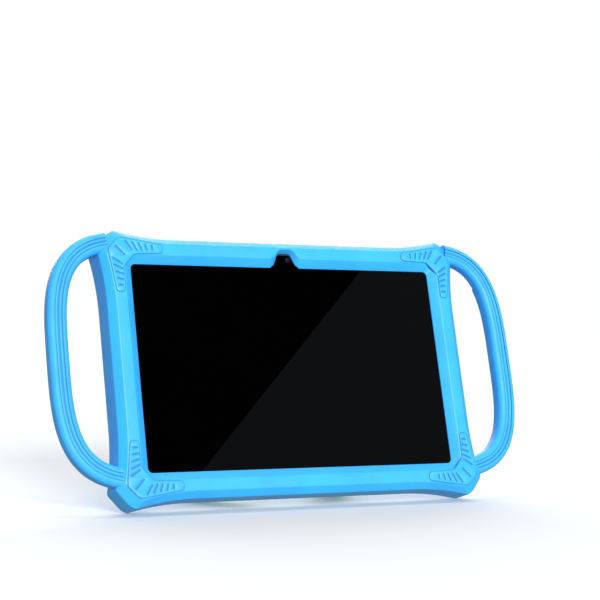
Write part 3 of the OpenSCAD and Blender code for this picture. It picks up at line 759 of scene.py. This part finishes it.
def stand_ring():
    """The ring: bright lips, a hollowed channel and solid ends with the hinge, open behind the tablet."""
    pin_z = DISC_Z - PIN_OUT
    opened = Matrix.Translation((0, PIN_Y, pin_z)) @ Matrix.Rotation(-RING_OPEN, 4, "X")
    opened = opened @ Matrix.Translation((0, -PIN_Y, -pin_z))
    front = [(RING_BORE_R, RING_FRONT), (RING_R, RING_FRONT)]
    hollow = [(RING_R, RING_BACK), (RING_R - 1.8, RING_BACK), (RING_R - 3.2, RING_BACK - 1.7),
              (RING_BORE_R + 6.0, RING_BACK - 3.3), (RING_BORE_R + 2.6, RING_BACK - 2.6),
              (RING_BORE_R + 1.7, RING_BACK - 0.25), (RING_BORE_R, RING_BACK - 0.25)]
    solid = [(RING_R, RING_BACK), (RING_BORE_R, RING_BACK - 0.25)]
    channel = soften(front + hollow, [0.8, 0.6, 0.7, 0.5, 0.9, 1.6, 1.0, 0.5, 0.6], 4)
    plain = soften(front + solid, [0.8, 0.6, 0.7, 0.6], 4)
    near, far = RING_GAP, RING_GAP + END_WALL
    first = math.degrees(math.asin(near / RING_R)) - 1
    last = math.degrees(math.asin(far / RING_BORE_R)) + 1
    deep, low = (RING_FRONT - 2, RING_BACK + 2), DISC_Z - RING_R - 2
    swing = TO_ROW @ opened @ TO_ROW.inverted()
    on_pin = Matrix.Translation((0, PIN_Y, pin_z)) @ Matrix.Rotation(math.pi / 2, 4, "Z")
    ring = lathe("ring_loop", channel, cz=DISC_Z, start=-90 + first, stop=270 - first, steps=150)
    cut(ring, box((-far, far), deep, (low, DISC_Z)))
    ring.data.transform(swing)
    put(ring, "stand_ring", "ring_lime", LIME, "stand_ring")
    for side, sign in (("right", 1), ("left", -1)):
        start, stop = sorted((-90 + sign * first, -90 + sign * last))
        end = lathe(f"ring_end_{side}", plain, cz=DISC_Z, start=start, stop=stop, steps=16)
        heel = lathe("cutter", [(0, -50), (HEEL_R, -50), (HEEL_R, 50), (0, 50)], steps=48)
        heel.data.transform(TO_ROW @ on_pin @ TO_ROW.inverted())
        below = box((-50, 50), deep, (low, pin_z))
        cut(end, box((-near, near), deep, (low, DISC_Z)),
            box(sorted((sign * (far + 0.2), sign * 50)), deep, (low, DISC_Z)), cut(below, heel))
        end.data.transform(swing)
        put(end, "stand_ring", "ring_lime", LIME)


stand_base()
stand_disc()
stand_ring()


# ---------------------------------------------------------------- tablet details
put(plate("display_area", round_rect(154, 86, 1.0), [], -0.02, 0.2, back_soft=0.01, steps=1),
    "case", "screen_glass", PICTURE)


def front_camera():
    """The small lens in the notch above the picture."""
    at = (2.3, 57.4)
    profile = [(0, 0.2), (1.35, 0.2), (1.35, -0.04), (0.8, -0.04), (0.6, -0.01), (0, -0.01)]
    put(lathe("front_lens", soften(profile, 0.03, 1), *at, steps=40), "case", "lens_glass", LENS)


front_camera()


# ---------------------------------------------------------------- studio
def matt(name, colour, rough=0.5, glow=0.0):
    """A material without gloss for the set. With a glow it gives out white light."""
    m = bpy.data.materials.new(name)
    m.use_nodes = True
    shader = m.node_tree.nodes["Principled BSDF"]
    shader.inputs["Base Color"].default_value = (*colour, 1)
    shader.inputs["Roughness"].default_value = rough
    shader.inputs["Specular IOR Level"].default_value = 0.0
    if glow:
        shader.inputs["Emission Color"].default_value = (1, 1, 1, 1)
        shader.inputs["Emission Strength"].default_value = glow
    return m


def prop(mesh, looks, hidden_from):
    """A part of the set, which is not part of the toy, and the kinds of ray that pass it by."""
    mesh.materials.append(looks)
    made = bpy.data.objects.new(mesh.name, mesh)
    bpy.context.scene.collection.objects.link(made)
    for ray in hidden_from:
        setattr(made, f"visible_{ray}", False)


def floor():
    mesh = bpy.data.meshes.new("floor")
    s = FLOOR_SIZE
    mesh.from_pydata([(-s, -s, 0), (s, -s, 0), (s, s, 0), (-s, s, 0)], [], [(0, 1, 2, 3)])
    prop(mesh, matt("floor", (0.93, 0.93, 0.93), 0.9), ("diffuse", "glossy"))


def surround():
    """A white sphere that only the camera sees."""
    mesh = bpy.data.meshes.new("surround")
    bm = bmesh.new()
    bmesh.ops.create_uvsphere(bm, u_segments=32, v_segments=16, radius=SURROUND_R)
    bm.to_mesh(mesh)
    bm.free()
    white = matt("surround", (0, 0, 0), glow=1.0)
    prop(mesh, white, ("diffuse", "glossy", "shadow", "transmission", "volume_scatter"))


def card():
    """A dark card in front of the toy. Its edge is the slanting line that the glass reflects."""
    middle, along, out = Vector((453, 0, 221)), Vector((0.7, 0, 0.714)), Vector((-0.714, 0, 0.7))
    in_front, half_long, wide = -900, 900, 1300
    ends = [middle - along * half_long, middle + along * half_long]
    corners = [*ends, ends[1] + out * wide, ends[0] + out * wide]
    mesh = bpy.data.meshes.new("card")
    mesh.from_pydata([TO_ROW @ Vector((p.x, in_front, p.z)) for p in corners], [], [(0, 1, 2, 3)])
    prop(mesh, matt("card", (0, 0, 0)), ("camera", "diffuse", "shadow", "transmission", "volume_scatter"))


def sun(name, direction, strength, softness):
    """Parallel light from a direction, with soft-edged shadows."""
    data = bpy.data.lights.new(name, "SUN")
    data.energy = strength
    data.angle = math.radians(softness)
    made = bpy.data.objects.new(name, data)
    bpy.context.scene.collection.objects.link(made)
    made.rotation_mode = "QUATERNION"
    made.rotation_quaternion = (-Vector(direction)).to_track_quat("-Z", "Y")


def studio():
    """A white room: a wide key light from the front, and weak light from above and behind."""
    world = bpy.data.worlds.new("studio")
    world.use_nodes = True
    world.node_tree.nodes["Background"].inputs["Color"].default_value = (0.88, 0.95, 1, 1)
    world.node_tree.nodes["Background"].inputs["Strength"].default_value = 0.36
    bpy.context.scene.world = world
    sun("key", (-0.15, -0.97, 0.28), 3.7, 22)
    sun("top", (0.1, 0.2, 1.0), 0.6, 30)
    sun("back", (0.3, 0.9, 0.55), 2.0, 60)
    bpy.context.scene.view_settings.view_transform = "Standard"


def camera():
    """The photograph's camera, in the tablet's own frame, turned into the row's frame."""
    data = bpy.data.cameras.new("camera")
    data.sensor_width = 36
    data.lens = CAMERA_LENS
    made = bpy.data.objects.new("camera", data)
    bpy.context.scene.collection.objects.link(made)
    forward = CAMERA_FORWARD.normalized()
    right = (CAMERA_RIGHT - forward * CAMERA_RIGHT.dot(forward)).normalized()
    up = right.cross(forward)
    basis = Matrix((turn @ right, turn @ up, turn @ -forward)).transposed().to_4x4()
    place = TO_ROW @ CAMERA_AT
    made.matrix_world = Matrix.Translation(place) @ basis
    bpy.context.scene.camera = made


floor()
surround()
card()
studio()
camera()
